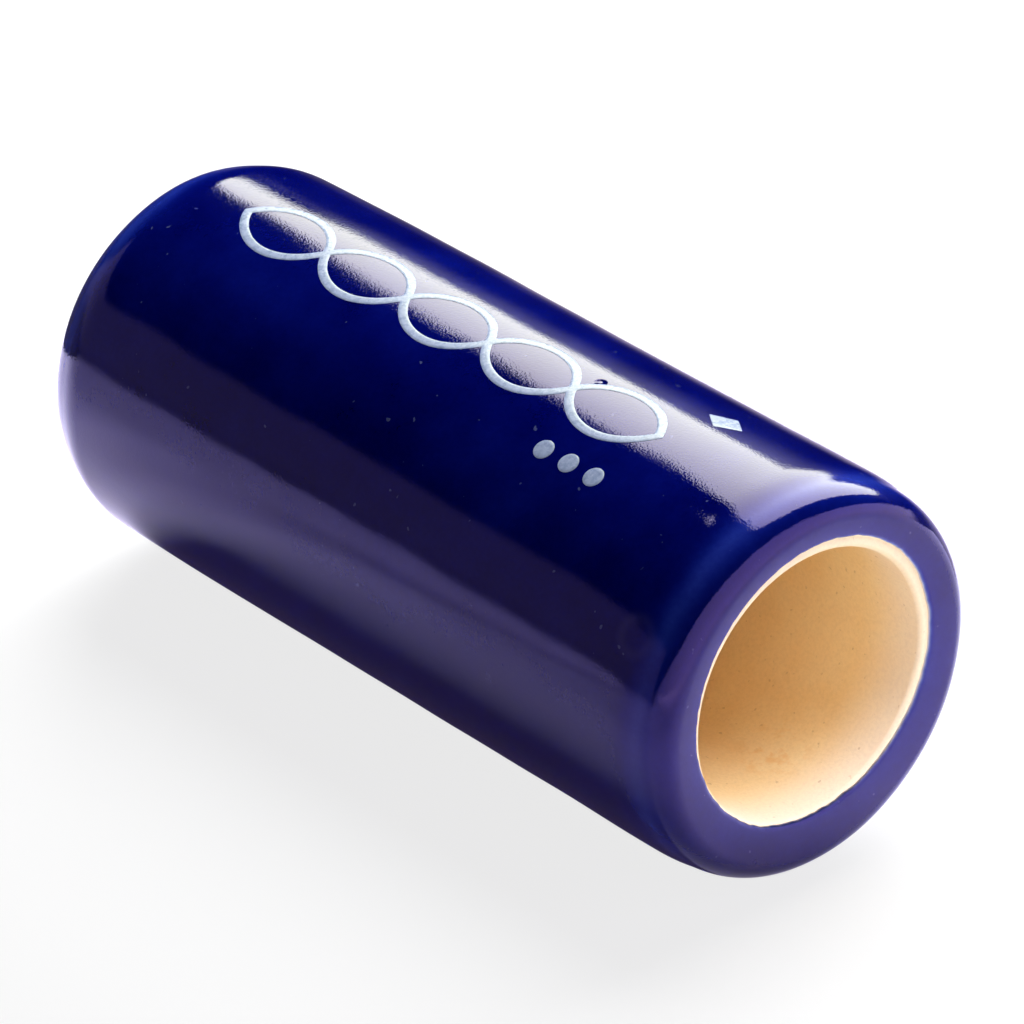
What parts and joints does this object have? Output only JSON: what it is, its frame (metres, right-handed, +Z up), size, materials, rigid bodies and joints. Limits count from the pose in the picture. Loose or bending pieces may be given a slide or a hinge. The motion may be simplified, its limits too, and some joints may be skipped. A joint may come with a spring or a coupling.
{
  "type": "guitar slide",
  "caption": "Thick-walled ceramic guitar slide: a cobalt-glazed tube with rounded ends, a bare clay finger bore and a plain pale overglaze print.",
  "frame": {"origin": "on the axis of the glazed outer wall, halfway along the slide", "axes": "+X runs along the slide and out of the playing mouth, +Z is up with the slide lying on its side and the print on top"},
  "size_m": [0.069, 0.03, 0.03],
  "materials": {
    "bisque": "matt unglazed fired clay, cream",
    "cobalt_glaze": "high gloss cobalt blue glaze",
    "overglaze_print": "satin pale blue overglaze enamel"
  },
  "bodies": {
    "root": {"bisque_tube": "bisque", "glaze_coat": "cobalt_glaze", "wave_print": "overglaze_print", "dot_print": "overglaze_print", "diamond_print": "overglaze_print"}
  },
  "joints": []
}
